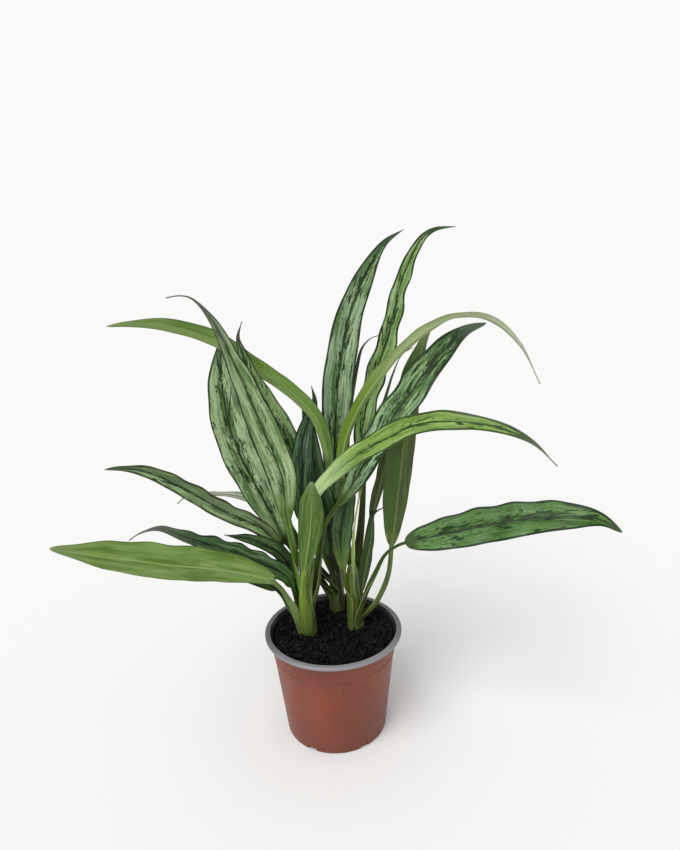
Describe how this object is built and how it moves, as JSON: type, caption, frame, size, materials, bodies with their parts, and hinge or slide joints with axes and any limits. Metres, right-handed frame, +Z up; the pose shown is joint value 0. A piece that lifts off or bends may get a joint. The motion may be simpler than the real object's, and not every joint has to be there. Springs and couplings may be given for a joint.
{
  "type": "potted chinese evergreen",
  "caption": "Leafy house plant with long, narrow, silver-marked leaves on slim stalks, standing in soil in a round tapered plastic nursery pot.",
  "frame": {"origin": "centre of the pot's flat base, on the surface it stands on", "axes": "+Z up, +X to the plant's right as seen from the front, -Y towards the front"},
  "size_m": [0.4035, 0.173, 0.4325],
  "materials": {
    "pot_plastic": "satin",
    "potting_soil": "matte",
    "sheath": "satin",
    "leaf_silver": "satin",
    "leaf_light": "satin",
    "leaf_green": "satin",
    "leaf_dark": "satin"
  },
  "bodies": {
    "root": {"pot": "pot_plastic", "soil": "potting_soil", "shoot_left": "sheath", "shoot_right": "sheath", "shoot_back": "sheath", "leaf_left_young": "leaf_green", "leaf_left_front_arch": "leaf_light", "leaf_left_light": "leaf_light", "leaf_left_inner": "leaf_silver", "leaf_left_broad_low": "leaf_green", "leaf_left_dark_low": "leaf_dark", "leaf_left_narrow": "leaf_silver", "leaf_left_small": "leaf_dark", "leaf_left_behind": "leaf_dark", "leaf_left_upright": "leaf_dark", "leaf_left_crossing": "leaf_silver", "leaf_right_upright": "leaf_silver", "leaf_right_low": "leaf_silver", "leaf_right_arch": "leaf_green", "leaf_right_wavy": "leaf_silver", "leaf_right_drip": "leaf_dark", "leaf_right_curled": "leaf_dark", "leaf_right_slim": "leaf_dark", "leaf_right_short": "leaf_dark", "leaf_back_tall": "leaf_silver", "leaf_back_green": "leaf_green", "leaf_back_broad": "leaf_silver", "leaf_back_middle": "leaf_silver", "leaf_back_thin": "leaf_dark", "leaf_back_pale": "leaf_green", "leaf_back_dark": "leaf_dark"}
  },
  "joints": []
}
